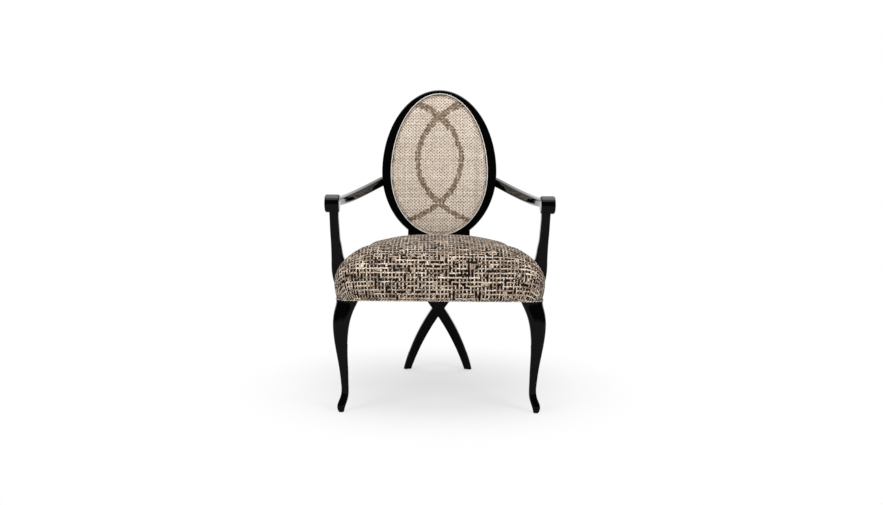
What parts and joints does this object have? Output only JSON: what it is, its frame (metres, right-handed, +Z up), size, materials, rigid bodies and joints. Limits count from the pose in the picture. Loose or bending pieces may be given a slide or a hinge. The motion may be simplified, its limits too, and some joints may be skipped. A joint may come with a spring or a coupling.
{
  "type": "oval back armchair",
  "caption": "Lacquered armchair with an oval upholstered back, arms that end in round scrolls, a high crowned tweed seat, cabriole front legs and crossed rear legs.",
  "frame": {"origin": "on the floor, under the middle of the bounding box", "axes": "+Z up, +Y towards the back of the chair, +X to the right when the chair is seen from the front; the chair is symmetric about the plane of Y and Z apart from the lap joint of the rear legs"},
  "size_m": [0.695, 0.6527, 0.9648],
  "materials": {
    "beech": "plain planed wood",
    "black_lacquer": "gloss black lacquer",
    "plywood": "plain board",
    "wadding": "foam and wadding",
    "back_weave": "cream basket weave",
    "plain_cloth": "plain cloth",
    "light_cord": "smooth light cord",
    "seat_tweed": "coarse black and cream tweed",
    "hem_trim": "twisted cream cord",
    "webbing": "jute webbing",
    "dust_cloth": "black lining cloth",
    "zinc_steel": "zinc plated",
    "glide_plastic": "dull black"
  },
  "bodies": {
    "root": {"seat_front_rail": "beech", "seat_rear_rail": "beech", "seat_right_rail": "beech", "seat_left_rail": "beech", "front_corner_block_right": "beech", "front_corner_block_left": "beech", "rear_corner_block_right": "beech", "rear_corner_block_left": "beech", "rail_dowels": "beech", "rear_leg_dowels": "beech", "back_frame_dowels": "beech", "arm_dowels": "beech", "front_right_leg": "black_lacquer", "front_left_leg": "black_lacquer", "rear_left_leg": "black_lacquer", "rear_right_leg": "black_lacquer", "back_crest": "black_lacquer", "back_right_stile": "black_lacquer", "back_left_stile": "black_lacquer", "back_base": "black_lacquer", "right_arm": "black_lacquer", "left_arm": "black_lacquer", "right_arm_scroll": "black_lacquer", "left_arm_scroll": "black_lacquer", "right_arm_post": "black_lacquer", "left_arm_post": "black_lacquer", "lap_plug": "black_lacquer", "back_board": "plywood", "back_padding": "wadding", "back_cover": "back_weave", "back_rear_wadding": "wadding", "back_outer_cover": "plain_cloth", "back_piping": "light_cord", "back_outer_piping": "light_cord", "seat_padding": "wadding", "seat_cover": "seat_tweed", "seat_trim": "hem_trim", "webbing_across": "webbing", "webbing_lengthwise": "webbing", "dust_cover": "dust_cloth", "corner_block_screws": "zinc_steel", "lap_screw": "zinc_steel", "neck_bolts": "zinc_steel", "neck_bolt_washers": "zinc_steel", "arm_post_screws": "zinc_steel", "foot_glides": "glide_plastic"}
  },
  "joints": []
}
